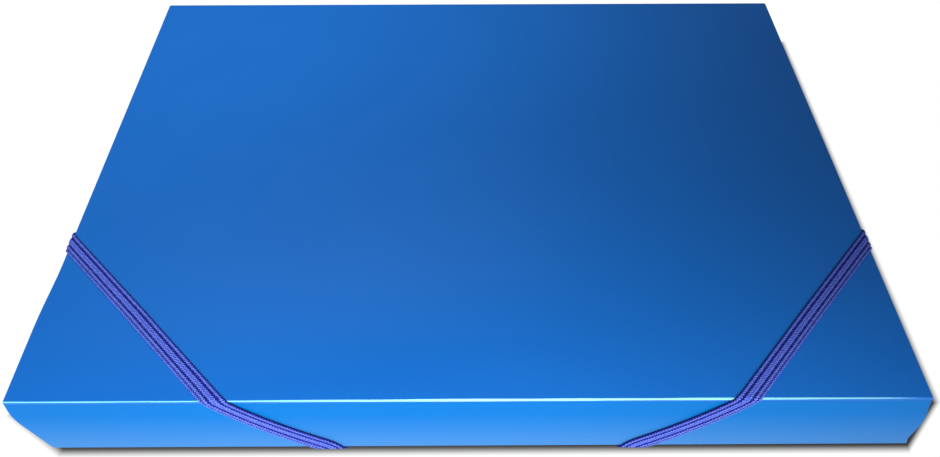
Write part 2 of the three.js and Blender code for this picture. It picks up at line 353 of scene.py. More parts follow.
def flap_material():
    """The sheet of the front flap, with painted light: paler towards its free edge, painted as light coming through
    from below.
    """
    m = sheet_nodes("pp_sheet_flap")
    z = m.split(m.coordinates())[2]
    down = m.remap(z, FLAP_LOW.z, FLAP_AXIS.z, 1, 0)
    sheet = m.shader.inputs["Base Color"].links[0].from_socket
    # Painted light: the colour grows paler down the flap towards its free edge
    pale = m.ramp(down, [(0.0, BLACK), (0.3, grey(0.02)), (0.65, grey(0.45)), (1.0, WHITE)])
    at_crease = m.mix(1.0, sheet, (0.3, 1.04, 0.90), "MULTIPLY")
    painted_light_at_edge = (0.055, 0.222, 0.56)
    m.set(Base_Color=m.mix(pale, at_crease, painted_light_at_edge), Specular_IOR_Level=0.05)
    return m.material


SHEET_BLUE = sheet_nodes("pp_sheet_blue").material
SHEET_INSIDE = sheet_nodes("pp_sheet_inside", 0.92).material
SHEET_FLAP_PAINTED_LIGHT = flap_material()
CUT_EDGE = cut_edge_material()
CREASE_WHITENED_AND_HIGHLIGHT = crease_material()


def elastic_material():
    """Knitted elastic: ribs along the band with painted highlight on their crowns and painted shade in the grooves
    between them, a painted shadow along the edge towards the box's middle, and a zigzag of fine stitches with
    painted light and shade on them.

    The "knit" map gives the place across and along the band in millimetres.
    """
    m = Nodes("knitted_elastic")
    across, along, _ = m.split(m.uv("knit"))
    zigzag_length, half_width = 0.55, 3.5
    fuzz = m.noise(2300, 2, 0.6)
    wander = m.remap(m.math("PINGPONG", along, zigzag_length), 0, zigzag_length, -0.22, 0.22)
    wander = m.math("ADD", wander, m.remap(fuzz, 0.3, 0.7, -0.16, 0.16))
    place = m.remap(m.math("ADD", across, wander), -half_width, half_width, 0, 1)
    # Pale rib crowns are painted highlight, dark grooves painted shade, the darkest stop at the inner edge painted
    # shadow
    light, mid = (0.17, 0.27, 1.0), (0.035, 0.06, 0.60)
    dark, painted_edge_shadow = (0.001, 0.005, 0.24), (0.001, 0.004, 0.11)
    ribs = [(0.0, mid), (0.055, light), (0.14, dark), (0.25, light), (0.33, dark), (0.39, dark),
            (0.48, light), (0.55, mid), (0.62, light), (0.70, dark), (0.78, dark), (0.86, light),
            (0.93, mid), (0.965, painted_edge_shadow)]
    colour = m.ramp(place, ribs)
    # The stitches also scale the colour from 0.3 to 1.45: painted shade and highlight over each stitch
    stitch = m.math("SINE", m.math("ADD", m.math("MULTIPLY", along, 7.4), m.math("MULTIPLY", across, 4.2)))
    level = m.remap(m.math("ADD", stitch, m.remap(fuzz, 0.3, 0.7, -0.6, 0.6)), -1.5, 1.5, 0.30, 1.45)
    shade = m.add("ShaderNodeCombineXYZ")
    for name in "XYZ":
        m.link(level, shade.inputs[name])
    colour = m.mix(1.0, colour, shade.outputs["Vector"], "MULTIPLY")
    normal = m.bump(stitch, 0.5, 0.14 * MM)
    m.set(Base_Color=colour, Roughness=0.7, Normal=m.bump(fuzz, 0.2, 0.08 * MM, normal))
    m.set(Sheen_Weight=0.05, Sheen_Roughness=0.4, Specular_IOR_Level=0.2)
    return m.material


def rivet_material():
    """Moulded plastic, a little glossier than the sheet."""
    m = Nodes("rivet_plastic")
    cloud = m.remap(m.noise(400, 2), 0.3, 0.7, 0, 1)
    m.set(Base_Color=m.mix(cloud, (0.008, 0.10, 0.50), (0.012, 0.13, 0.58)), Roughness=0.28)
    m.set(Normal=m.bump(m.noise(1500, 2), 0.05, 0.05 * MM))
    return m.material


def metal_material():
    """Nickel-plated steel strip with rolling marks."""
    m = Nodes("clip_nickel")
    marks = m.noise(900, 3, 0.6, (1, 1, 0.05))
    m.set(Base_Color=m.mix(marks, (0.52, 0.53, 0.55), (0.70, 0.71, 0.72)), Metallic=1.0)
    m.set(Roughness=m.remap(marks, 0.3, 0.7, 0.22, 0.36), Normal=m.bump(marks, 0.1, 0.04 * MM))
    return m.material


ELASTIC = elastic_material()
RIVET = rivet_material()
METAL = metal_material()


# ---------------------------------------------------------------- mesh helpers
EDGE_BREAK = 0.08 * MM                       # how far a cut edge is broken
BREAK_ANGLE = math.radians(50)               # edges turned further than this are broken
CRISP_ANGLE = math.radians(32)               # edges turned further than this are shaded sharp


def add_object(name, verts, faces, materials, face_slots=None):
    mesh = bpy.data.meshes.new(name)
    mesh.from_pydata([tuple(v) for v in verts], [], faces)
    for material in materials:
        mesh.materials.append(material)
    if face_slots is not None:
        mesh.polygons.foreach_set("material_index", face_slots)
    mesh.polygons.foreach_set("use_smooth", [True] * len(mesh.polygons))
    mesh.validate()
    obj = bpy.data.objects.new(name, mesh)
    bpy.context.scene.collection.objects.link(obj)
    return obj


def fit(obj, body, slot, *nodes):
    """Makes obj ride on body, as the better shape of some of its nodes."""
    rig.ride(obj, body)
    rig.slot(obj, slot)
    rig.replaces(obj, *nodes)


def finish_sheet(obj, bevel=0.0):
    """Outward faces, and cut edges that are just broken rather than razor sharp."""
    turned_past = lambda edge, angle: len(edge.link_faces) == 2 and edge.calc_face_angle() > angle
    bm = bmesh.new()
    bm.from_mesh(obj.data)
    bmesh.ops.remove_doubles(bm, verts=bm.verts, dist=1e-7)
    bmesh.ops.recalc_face_normals(bm, faces=bm.faces)
    if bevel:
        sharp = [edge for edge in bm.edges if turned_past(edge, BREAK_ANGLE)]
        bmesh.ops.bevel(bm, geom=sharp, offset=bevel, segments=2, affect="EDGES", clamp_overlap=True)
    for face in bm.faces:
        face.smooth = True
    for edge in bm.edges:
        edge.smooth = not turned_past(edge, CRISP_ANGLE)
    bm.to_mesh(obj.data)
    bm.free()
    return obj


def unit(v):
    return v / np.linalg.norm(v)


def left_of(direction):
    return np.array([-direction[1], direction[0]])


def corner_arc(before, corner, after, radius, steps):
    """The corner as an arc: (point, direction there) pairs. Without a radius or a turn, just the corner."""
    a, b = unit(corner - before), unit(after - corner)
    turn = math.atan2(a[0] * b[1] - a[1] * b[0], a @ b)
    if radius <= 0 or abs(turn) < 1e-3:
        return [(corner, a)]
    side = left_of(a) * math.copysign(1, turn)
    centre = corner - a * radius * math.tan(abs(turn) / 2) + side * radius
    arc = []
    for k in range(steps + 1):
        c, s = math.cos(turn * k / steps), math.sin(turn * k / steps)
        spin = np.array([[c, -s], [s, c]])
        arc.append((centre - spin @ side * radius, spin @ a))
    return arc


def rounded_path(corners, radius, steps=8):
    """Midline of a folded sheet in its section: (point, left normal) pairs, each inner corner an arc."""
    points = [np.array(c, float) for c in corners]
    path = [(points[0], unit(points[1] - points[0]))]
    for before, corner, after in zip(points, points[1:], points[2:]):
        path += corner_arc(before, corner, after, radius, steps)
    path.append((points[-1], unit(points[-1] - points[-2])))
    return [(point, left_of(direction)) for point, direction in path]


def rounded_outline(corners, radii, steps=6):
    """A closed outline with each corner turned by a small arc."""
    points = [np.array(c, float) for c in corners]
    outline = []
    for i, radius in enumerate(radii):
        arc = corner_arc(points[i - 1], points[i], points[(i + 1) % len(points)], radius, steps)
        outline += [point for point, _ in arc]
    return outline


def ring_faces(rings, count):
    """Quads between one ring of count vertices and the next."""
    faces = []
    for r in range(rings - 1):
        for k in range(count):
            j = (k + 1) % count
            faces.append((r * count + k, r * count + j, (r + 1) * count + j, (r + 1) * count + k))
    return faces


def bent_sheet(name, path, spans, place, slots, stripe=(), thickness=SHEET):
    """A sheet that follows path in section and reaches from spans[i][0] to spans[i][1] across it.

    place(point, across) gives the 3-D point. Material 0 is the faces, 1 the cut edges, 2 the steps of
    the faces that are in stripe. The "bend" map is (across in mm, 0 to 1 along the path).
    """
    last = len(path) - 1
    verts, kinds = [], []
    for (p, n), (low, high) in zip(path, spans):
        for offset, across in ((0.5, low), (0.5, high), (-0.5, high), (-0.5, low)):
            verts.append(place(p + n * thickness * offset, across))
    for i in range(last):
        face_kind = 2 if i in stripe else 0
        kinds += [face_kind, 1, face_kind, 1]
    faces = ring_faces(len(path), 4) + [(3, 2, 1, 0), tuple(4 * last + k for k in range(4))]
    sheet = add_object(name, verts, faces, slots, face_slots=kinds + [1, 1])
    bend = sheet.data.uv_layers.new(name="bend")
    for loop in sheet.data.loops:
        i, k = divmod(loop.vertex_index, 4)
        low, high = spans[i]
        bend.data[loop.index].uv = ((high if k in (1, 2) else low) / MM, i / last)
    return finish_sheet(sheet)


def flat_sheet(name, outline, origin, u, v, slots):
    """A flat cut piece: outline in the u, v plane at origin, its thickness along u x v."""
    w = u.cross(v).normalized() * SHEET
    base = [origin + u * p[0] + v * p[1] for p in outline]
    verts = base + [q + w for q in base]
    count = len(base)
    faces = [tuple(reversed(range(count))), tuple(range(count, 2 * count))] + ring_faces(2, count)
    kinds = [0, 0] + [1] * count
    return finish_sheet(add_object(name, verts, faces, slots, face_slots=kinds), EDGE_BREAK)


def cut(obj, *cutters):
    """Cuts other meshes out of obj, and removes them."""
    for cutter in cutters:
        modifier = obj.modifiers.new("cut", "BOOLEAN")
        modifier.operation = "DIFFERENCE"
        modifier.solver = "EXACT"
        modifier.object = cutter
    bpy.context.view_layer.update()
    evaluated = obj.evaluated_get(bpy.context.evaluated_depsgraph_get())
    mesh = bpy.data.meshes.new_from_object(evaluated)
    obj.modifiers.clear()
    obj.data = mesh
    for cutter in cutters:
        bpy.data.objects.remove(cutter)


# ---------------------------------------------------------------- the folded sheet: tray
INSIDE_SLOTS = [SHEET_INSIDE, CUT_EDGE]
FOLD_MID = FOLD_RADIUS - SHEET / 2           # radius of a fold's midline
TAB_LOW, TAB_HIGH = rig.box("right_front_tab")
CORNER_X = TAB_HIGH.x - SHEET / 2            # midline of the tabs inside the side walls
TAB_CUT = 5 * MM                             # corners cut off a tab's free edge
BOTTOM_RISE = 1.6 * MM                       # how far the bottom sheet turns up at each wall
SIDE_SEAM = WALL_IN - 1.0 * MM               # where the bottom ends and each side wall's fold begins
RELIEF = 1.0 * MM                            # slope from the wall's edge to the tab's
SLOT_LENGTH = 8.4 * MM
SLOT_WIDTH = 1.8 * MM


def in_yz(point, across):
    return (across, point[0], point[1])


def in_xz(point, across):
    return (point[0], across, point[1])


def in_xy(point, across):
    return (point[0], point[1], across)


def slot_cutter(clip):
    """A prism where a band end passes through the bottom, set across the band's run."""
    centre = sum(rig.box(clip), Vector()) / 2
    run = Vector((-math.copysign(1, centre.x), 1, 0)).normalized()
    across = Vector((-run.y, run.x, 0))
    bm = bmesh.new()
    bmesh.ops.create_cube(bm, size=1)
    turn = Matrix((across, run, AXIS_Z)).transposed().to_4x4()
    middle = Vector((centre.x, centre.y, BASE + SHEET / 2))
    scale = Matrix.Diagonal((SLOT_LENGTH, SLOT_WIDTH, 4 * SHEET, 1))
    bmesh.ops.transform(bm, matrix=Matrix.Translation(middle) @ turn @ scale, verts=bm.verts)
    mesh = bpy.data.meshes.new("slot_cutter")
    bm.to_mesh(mesh)
    bm.free()
    cutter = bpy.data.objects.new("slot_cutter", mesh)
    bpy.context.scene.collection.objects.link(cutter)
    return cutter


def make_bottom():
    """Bottom panel with its folds turned up into the front wall and the spine."""
    front = FRONT_WALL_OUT + SHEET / 2
    rear = LID_AXIS.y
    mid = BASE + SHEET / 2
    edge = BASE + BOTTOM_RISE
    path = rounded_path([(front, edge), (front, mid), (rear, mid), (rear, edge)], FOLD_MID)
    bottom = bent_sheet("bottom_sheet", path, [(-SIDE_SEAM, SIDE_SEAM)] * len(path), in_yz, INSIDE_SLOTS)
    clips = [f"{side}_elastic_{end}_clip" for side in ("left", "right") for end in ("front", "side")]
    cut(bottom, *[slot_cutter(clip) for clip in clips])
    fit(bottom, "tray", "pp_sheet", "bottom_panel")


def make_cross_wall(name, y_mid, inward, top, nodes):
    """Front wall or spine, folded round at both ends into the tabs inside the side walls."""
    tab_end = y_mid + inward * (TAB_HIGH.y - TAB_LOW.y + SHEET / 2)
    shoulder = tab_end - inward * TAB_CUT
    wall = (BASE + BOTTOM_RISE, top)
    tab = (TAB_LOW.z, TAB_HIGH.z)
    tip = (TAB_LOW.z + TAB_CUT, TAB_HIGH.z - TAB_CUT)
    corners = [(-CORNER_X, shoulder), (-CORNER_X, y_mid), (CORNER_X, y_mid), (CORNER_X, shoulder)]
    fold = rounded_path(corners, FOLD_MID)
    left, right = fold[:len(fold) // 2], fold[len(fold) // 2:]
    wall_end = CORNER_X - FOLD_MID - RELIEF
    path = [(np.array([-CORNER_X, tab_end]), left[0][1])] + left
    path += [(np.array([x, y_mid]), left[-1][1]) for x in (-wall_end, wall_end)]
    path += right + [(np.array([CORNER_X, tab_end]), right[-1][1])]
    spans = [tip] + [tab] * len(left) + [wall, wall] + [tab] * len(right) + [tip]
    fit(bent_sheet(name, path, spans, in_xy, INSIDE_SLOTS), "tray", "pp_sheet", *nodes)


def make_side_wall(name, side):
    """Side wall with the fold that joins it to the bottom."""
    mid_x = side * (WALL_OUT - SHEET / 2)
    mid_z = BASE + SHEET / 2
    low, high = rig.box(f"{name}_wall")
    path = rounded_path([(side * SIDE_SEAM, mid_z), (mid_x, mid_z), (mid_x, WALL_TOP)], FOLD_MID)
    sheet = bent_sheet(f"{name}_wall_sheet", path, [(low.y, high.y)] * len(path), in_xz, INSIDE_SLOTS)
    fit(sheet, "tray", "pp_sheet", f"{name}_wall")


make_bottom()
make_cross_wall("front_wall_sheet", FRONT_WALL_OUT + SHEET / 2, 1, WALL_TOP,
                ("front_wall", "left_front_tab", "right_front_tab"))
make_cross_wall("spine_sheet", LID_AXIS.y, -1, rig.box("spine_panel")[1].z,
                ("spine_panel", "left_rear_tab", "right_rear_tab"))
make_side_wall("left", -1)
make_side_wall("right", 1)


# ---------------------------------------------------------------- creases that move
REACH = LID_AXIS.y - LID_HIGH.y              # a panel that moves stops this far from its crease
FOLD_STEPS = 10
FOLD_STRIPE = range(1, 1 + FOLD_STEPS)       # the steps of a crease's path that are bent


def make_crease(name, node, bodies, section, place, spans, slots):
    """A strip from one body to the next. The section's three points are its edge, its corner and its edge."""
    path = rounded_path(section, FOLD_MID, FOLD_STEPS)
    if isinstance(spans, tuple):
        spans = [spans] * len(path)
    crease = bent_sheet(name, path, spans, place, slots, FOLD_STRIPE)
    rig.blend(crease, *bodies, start=place(section[0], 0), end=place(section[2], 0))
    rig.slot(crease, "pp_sheet")
    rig.replaces(crease, node)


def make_lid_crease():
    """It widens from the spine's width to the lid's."""
    y, z = LID_AXIS.y, LID_AXIS.z
    section = [(y, z - REACH), (y, z), (y - REACH, z)]
    widths = np.linspace(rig.box("lid_crease")[1].x, HALF, FOLD_STEPS + 3)
    make_crease("lid_crease_strip", "lid_crease", ("tray", "lid"), section, in_yz,
                [(-width, width) for width in widths], [SHEET_BLUE, CUT_EDGE, SHEET_BLUE])


def make_flap_crease():
    y, z = FLAP_AXIS.y, FLAP_AXIS.z
    foot = FLAP_AXIS + FLAP_DOWN * REACH
    make_crease("front_flap_crease_strip", "front_flap_crease", ("lid", "front_flap"),
                [(y + REACH, z), (y, z), (foot.y, foot.z)], in_yz,
                (-HALF - LEFT_SPREAD, HALF), [SHEET_BLUE, CUT_EDGE, CREASE_WHITENED_AND_HIGHLIGHT])


def make_dust_creases():
    slots = [SHEET_INSIDE, CUT_EDGE, SHEET_BLUE]
    low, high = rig.box("front_dust_flap_crease")
    _, y, z = JOINTS["front_dust_flap_fold"]["pos_m"]
    make_crease("front_dust_crease_strip", "front_dust_flap_crease", ("tray", "front_dust_flap"),
                [(y, z - REACH), (y, z), (y + REACH, z)], in_yz, (low.x, high.x), slots)
    for name, side in (("left", -1), ("right", 1)):
        low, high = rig.box(f"{name}_dust_flap_crease")
        x, _, z = JOINTS[f"{name}_dust_flap_fold"]["pos_m"]
        make_crease(f"{name}_dust_crease_strip", f"{name}_dust_flap_crease", ("tray", f"{name}_dust_flap"),
                    [(x, z - REACH), (x, z), (x - side * REACH, z)], in_xz, (low.y, high.y), slots)


make_lid_crease()
make_flap_crease()
make_dust_creases()


# ---------------------------------------------------------------- lid, front flap and dust flaps
LID_BOW = 0.8 * MM                           # rise of the middle, as in a sheet held along two creases
LID_COLUMNS = 67
LID_ROWS = 49
SPREAD_MARGIN = 0.2                          # of the half width, over which the left spread fades out


def lid_point(x, y):
    """A point of the lid's upper face: bowed, and its left margin spread out in front of the band."""
    forward = min(1.0, max(0.0, (SPREAD_START - y) / (SPREAD_START - SPREAD_FULL)))
    margin = max(0.0, (-x / HALF - (1 - SPREAD_MARGIN)) / SPREAD_MARGIN)
    spread = LEFT_SPREAD * forward * forward * (3 - 2 * forward) * margin
    from_middle = (2 * y - LID_LOW.y - LID_HIGH.y) / (LID_HIGH.y - LID_LOW.y)
    rise = LID_BOW * (1 - (x / HALF) ** 2) ** 2 * (1 - from_middle ** 2) ** 2
    return (x - spread, y, TOP + rise)


def make_lid():
    xs = np.linspace(-HALF, HALF, LID_COLUMNS)
    ys = np.linspace(LID_LOW.y, LID_HIGH.y, LID_ROWS)
    top = [lid_point(x, y) for y in ys for x in xs]
    count = len(top)
    verts = top + [(x, y, z - SHEET) for x, y, z in top]
    starts = [r * LID_COLUMNS + c for r in range(LID_ROWS - 1) for c in range(LID_COLUMNS - 1)]
    quads = [(i, i + 1, i + LID_COLUMNS + 1, i + LID_COLUMNS) for i in starts]
    faces = quads + [tuple(count + i for i in reversed(quad)) for quad in quads]
    kinds = [0] * len(faces)
    rim = list(range(LID_COLUMNS)) + [r * LID_COLUMNS + LID_COLUMNS - 1 for r in range(1, LID_ROWS)]
    rim += [count - 1 - c for c in range(1, LID_COLUMNS)]
    rim += [r * LID_COLUMNS for r in range(LID_ROWS - 2, 0, -1)]
    for a, b in zip(rim, rim[1:] + rim[:1]):
        faces.append((b, a, count + a, count + b))
        kinds.append(1)
    lid = finish_sheet(add_object("lid_sheet", verts, faces, [SHEET_BLUE, CUT_EDGE], face_slots=kinds))
    fit(lid, "lid", "pp_sheet", "lid_panel")


def make_front_flap():
    """Front flap in its leaning plane, measured down from the crease.

    Its left corner is cut off on a long slant. Its right end widens a little before a small cut.
    """
    left_cut, right_cut = Vector((8.0, 17.5)) * MM, Vector((0.7, 3)) * MM
    flare = Vector((1.6, 13)) * MM
    left, right = -HALF - LEFT_SPREAD, HALF
    turns = [((left, REACH), 0), ((right, REACH), 0), ((right + flare.x, flare.y), 14 * MM),
             ((right - right_cut.x, FLAP_LENGTH - right_cut.y), 3 * MM),
             ((right - right_cut.x / 3, FLAP_LENGTH), 0.3 * MM),
             ((-HALF + left_cut.x, FLAP_LENGTH), 2 * MM),
             ((left, FLAP_LENGTH - left_cut.y), 20 * MM)]
    outline = rounded_outline([corner for corner, _ in turns], [radius for _, radius in turns])
    inner = FLAP_AXIS + FLAP_OUT * (SHEET / 2)
    flap = flat_sheet("front_flap_sheet", outline, inner, AXIS_X, FLAP_DOWN, [SHEET_FLAP_PAINTED_LIGHT, CUT_EDGE])
    fit(flap, "front_flap", "pp_sheet", "front_flap")


def make_dust_flap(node, corners, radii):
    outline = rounded_outline(corners, radii)
    under = AXIS_Z * (DUST_TOP - SHEET)
    flap = flat_sheet(f"{node}_sheet", outline, under, AXIS_X, AXIS_Y, INSIDE_SLOTS)
    fit(flap, node, "pp_sheet", node)


def make_dust_flaps():
    """Each has its two free corners cut at 45 degrees."""
    rounding = 4 * MM
    low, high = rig.box("front_dust_flap")
    slope = high.y - low.y
    corners = [(low.x, low.y), (high.x, low.y), (high.x - slope, high.y), (low.x + slope, high.y)]
    make_dust_flap("front_dust_flap", corners, [0, 0, rounding, rounding])
    for name, side in (("left", -1), ("right", 1)):
        low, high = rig.box(f"{name}_dust_flap")
        slope = high.x - low.x
        crease, edge = (low.x, high.x) if side < 0 else (high.x, low.x)
        corners = [(crease, low.y), (edge, low.y + slope), (edge, high.y - slope), (crease, high.y)]
        if side > 0:
            corners.reverse()
        make_dust_flap(f"{name}_dust_flap", corners, [0, rounding, rounding, 0])


make_lid()
make_front_flap()
make_dust_flaps()


# ---------------------------------------------------------------- elastic bands
BAND_WIDTH = 7 * MM
BAND_THICK = 1 * MM
BAND_GAP = 0.1 * MM                          # between a band and the sheet under it
BAND_MID = BAND_GAP + BAND_THICK / 2
BAND_STEP = 0.3 * MM                         # between cross-sections
BAND_HALF_CUT = BAND_WIDTH / 2 * math.sqrt(2)    # half the width of a band, cut at 45 degrees
# Each rib's middle and half width in mm, and its height as a share of the thickness
RIBS = [(-3.0, 0.48, 0.86), (-1.7, 0.74, 1.0), (0.42, 1.28, 1.0), (2.64, 0.84, 0.92)]
RIB_SAMPLES = 6
GROOVE = 0.6                                 # height of the grooves, as a share of the thickness
SELVEDGE = 0.2                               # height of the band's edges, likewise
LEG_BOW = Vector((15.5, 14)) * MM            # pull on a leg's curve, along and down from the lid's edge
EDGE_RADIUS = 0.15 * MM                      # bend of a band over a cut edge
SLOT_BEND = 0.3 * MM                         # inner radius where a band turns up into its slot
RISER_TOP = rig.box("left_elastic_front_tail")[1].z
RISER_STEPS = 6
BAND_PARTS = ("strand", "front_leg", "front_tail", "side_leg", "side_tail")


def band_section():
    """The ribbed cross-section as (across, height over the sheet) round the band, the outside first."""
    outside = []
    for middle, half, crown in RIBS:
        for k in range(RIB_SAMPLES + 1):
            t = -1 + 2 * k / RIB_SAMPLES
            height = GROOVE + (crown - GROOVE) * math.sqrt(1 - t ** 2) ** 0.8
            outside.append(((middle + half * t) * MM, BAND_GAP + height * BAND_THICK))
    edge, flat = 0.98 * BAND_WIDTH / 2, 0.9 * BAND_WIDTH / 2
    low = BAND_GAP + SELVEDGE * BAND_THICK
    return outside + [(edge, low), (flat, BAND_GAP), (0, BAND_GAP), (-flat, BAND_GAP), (-edge, low)]


ARC_STEPS = 8


def running_length(points):
    """The length along a line of points, up to each of them."""
    steps = np.linalg.norm(np.diff(np.array(points), axis=0), axis=1)
    return np.concatenate([[0], np.cumsum(steps)])


class Wrap:
    """The surface a band lies on: a section from the lid, over an edge, down and back under the tray.

    The section is in (u, z) with u falling towards the edge. It is unrolled into s, zero at corner number 1.
    """

    def __init__(self, corners, radii, to_3d):
        self.to_3d = to_3d
        points = [np.array(c, float) for c in corners]
        outward = [-left_of(unit(b - a)) for a, b in zip(points, points[1:])]
        middle = [points[0] + outward[0] * BAND_MID]
        for p, a, b in zip(points[1:], outward, outward[1:]):
            middle.append(p + (a + b) / (1 + a @ b) * BAND_MID)
        middle.append(points[-1] + outward[-1] * BAND_MID)
        path = [(middle[0], -outward[0])]
        for i, radius in enumerate(radii):
            path += rounded_path(middle[i:i + 3], radius + BAND_MID, ARC_STEPS)[1:-1]
        path.append((middle[-1], -outward[-1]))
        self.points = np.array([p for p, _ in path])
        self.outward = -np.array([n for _, n in path])
        run = running_length(self.points)
        self.s = run - run[1 + (ARC_STEPS + 1) // 2]

    def on_lid(self, u):
        return self.s[0] + self.points[0][0] - u

    def under(self, u):
        return self.s[-1] + u - self.points[-1][0]

    def place(self, across, s, h):
        """The 3-D point at s on the surface, at height h over it."""
        p = np.array([np.interp(s, self.s, self.points[:, k]) for k in range(2)])
        n = np.array([np.interp(s, self.s, self.outward[:, k]) for k in range(2)])
        return Vector(self.to_3d(p + unit(n) * (h - BAND_MID), across))

    def rows(self, line, section):
        """Cross-sections along a centre line of (across, s) points."""
        rows = []
        for p, along in zip(line, np.gradient(line, axis=0)):
            t = unit(along)
            rows.append([self.place(p[0] + t[1] * w, p[1] - t[0] * w, h) for w, h in section])
        return rows


def eased_line(points, step, passes=30):
    """Points evenly spaced along a line, with its turns eased."""
    points = np.array(points, float)
    for _ in range(2):
        run = running_length(points)
        even = np.linspace(0, run[-1], int(run[-1] / step) + 2)
        points = np.stack([np.interp(even, run, points[:, k]) for k in range(2)], axis=1)
        for _ in range(passes):
            points[1:-1] = (points[:-2] + 2 * points[1:-1] + points[2:]) / 4
    return points


def sweep_through(start, control, end, count=12):
    """A quadratic curve from start to end, pulled towards control."""
    a, b, c = (np.array(p, float) for p in (start, control, end))
    return [(1 - t) ** 2 * a + 2 * t * (1 - t) * b + t * t * c for t in np.linspace(0, 1, count)]


def riser(flat_row, run):
    """The band's end, turned up through its slot."""
    first, last = flat_row[0], flat_row[len(RIBS) * (RIB_SAMPLES + 1) - 1]
    across = last - first
    across.z = 0
    across.normalize()
    start = (first + last) / 2
    start.z = BASE + SLOT_BEND
    rows = []
    for k in range(1, RISER_STEPS + 1):
        angle = math.pi / 2 * k / RISER_STEPS
        turned = run * math.sin(angle) - AXIS_Z * math.cos(angle)
        rows.append([start + across * w + turned * (SLOT_BEND + h) for w, h in band_section()])
    upright = rows[-1]
    for k in range(1, RISER_STEPS + 1):
        z = start.z + (RISER_TOP - start.z) * k / RISER_STEPS
        rows.append([Vector((p.x, p.y, z)) for p in upright])
    return rows


def band_rows(name, side):
    """A band's cross-sections, from its clip at the front to its clip at the side."""
    strand_low, strand_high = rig.box(f"{name}_elastic_strand")
    front_slot = sum(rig.box(f"{name}_elastic_front_clip"), Vector()) / 2
    side_slot = sum(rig.box(f"{name}_elastic_side_clip"), Vector()) / 2
    crease_x = (strand_high.x if side < 0 else strand_low.x) + side * BAND_HALF_CUT
    edge_y = strand_high.y - BAND_HALF_CUT

    # Sections of what the band lies on: the front in (y, z) and the side in (-|x|, z)
    foot = FLAP_AXIS + FLAP_DOWN * FLAP_LENGTH
    outer, inner = foot + FLAP_OUT * SHEET / 2, foot - FLAP_OUT * SHEET / 2
    crease = FLAP_AXIS + FLAP_OUT * SHEET / 2
    crease_y = crease.y + (TOP - crease.z) * math.tan(LEAN)
    front = Wrap([(0, TOP), (crease_y, TOP), (outer.y, outer.z), (inner.y, inner.z),
                  (FRONT_WALL_OUT + FOLD_RADIUS, BASE), (0, BASE)],
                 [FOLD_RADIUS, EDGE_RADIUS, EDGE_RADIUS, EDGE_RADIUS], in_yz)
    edge = Wrap([(0, TOP), (-HALF, TOP), (-HALF, TOP - SHEET), (-WALL_OUT, BASE + FOLD_RADIUS),
                 (-WALL_OUT + FOLD_RADIUS, BASE), (0, BASE)],
                [EDGE_RADIUS] * 4, lambda p, across: (-side * p[0], across, p[1]))

    # Centre lines on the unrolled surfaces. A leg leaves its edge steeply and flattens out
    short = (SLOT_BEND + BAND_MID) / math.sqrt(2)          # room to turn up into the slot
    foot_x = front_slot.x + side * (front_slot.y - outer.y + BAND_GAP)
    foot_y = side_slot.y - (HALF - abs(side_slot.x))
    middle = Vector(((crease_x + side * HALF) / 2, (crease_y + edge_y) / 2))
    front_line = [(front_slot.x + side * short, front.under(front_slot.y - short))]
    front_pull = (crease_x - side * LEG_BOW.x, LEG_BOW.y)
    front_line += sweep_through((foot_x, FLAP_LENGTH), front_pull, (crease_x, 0))
    front_line += [(middle.x, front.on_lid(middle.y))]
    side_line = [(middle.y, edge.on_lid(-abs(middle.x)))]
    side_line += sweep_through((edge_y, 0), (edge_y + LEG_BOW.x, LEG_BOW.y), (foot_y, TOP - BASE))
    side_line += [(side_slot.y - short, edge.under(-abs(side_slot.x) - short))]

    # Front's section flipped on one side, edge's on neither: on both, the painted shadow edge faces the box's middle
    front_section = [(side * w, h) for w, h in band_section()]
    front_rows = front.rows(eased_line(front_line, BAND_STEP), front_section)
    side_rows = edge.rows(eased_line(side_line, BAND_STEP), band_section())
    run = Vector((-side, 1, 0)).normalized()
    return riser(front_rows[0], run)[::-1] + front_rows + side_rows[1:] + riser(side_rows[-1], run)


def make_band(name, side):
    """One band, clip to clip: under the tray, up the front flap, over the lid's corner and down the side.

    The "knit" map is (across, along) in millimetres.
    """
    rows = band_rows(name, side)
    section = band_section()
    count = len(section)
    along = running_length([sum(row, Vector()) / count for row in rows])
    ends = [tuple(range(count)), tuple((len(rows) - 1) * count + k for k in range(count))]
    verts = [p for row in rows for p in row]
    band = add_object(f"{name}_elastic_band", verts, ring_faces(len(rows), count) + ends, [ELASTIC])
    knit = band.data.uv_layers.new(name="knit")
    for loop in band.data.loops:
        row, k = divmod(loop.vertex_index, count)
        knit.data[loop.index].uv = (section[k][0] / MM, along[row] / MM)
    bm = bmesh.new()
    bm.from_mesh(band.data)
    bmesh.ops.recalc_face_normals(bm, faces=bm.faces)
    bm.to_mesh(band.data)
    bm.free()
    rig.blend(band, "tray", f"{name}_elastic", start=(0, 0, BASE + BAND_GAP), end=(0, 0, TOP))
    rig.slot(band, "elastic")
    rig.replaces(band, *[f"{name}_elastic_{part}" for part in BAND_PARTS])


make_band("left", -1)
make_band("right", 1)


# ---------------------------------------------------------------- rivets and clips
HEAD_HEIGHT = 1.0 * MM                       # of a stud's domed head
HEAD_RIM = 0.25 * MM
SHANK_RADIUS = 1.6 * MM
SHANK_CHAMFER = 0.4 * MM
CAP_BORE = SHANK_RADIUS + 0.1 * MM
CLIP_WALL = 0.9 * MM
CLIP_LENGTH = 15 * MM
CLIP_BEND = 0.55 * MM


def turned(name, profile, origin, axis, material, sides=48):
    """A turned piece: profile is (radius, distance along the axis), from the axis to the axis or closed."""
    helper = axis.orthogonal().normalized()
    other = axis.cross(helper)
    verts = []
    for radius, along in profile:
        for k in range(sides):
            angle = 2 * math.pi * k / sides
            spoke = helper * math.cos(angle) + other * math.sin(angle)
            verts.append(origin + axis * along + spoke * radius)
    return finish_sheet(add_object(name, verts, ring_faces(len(profile), sides), [material]))


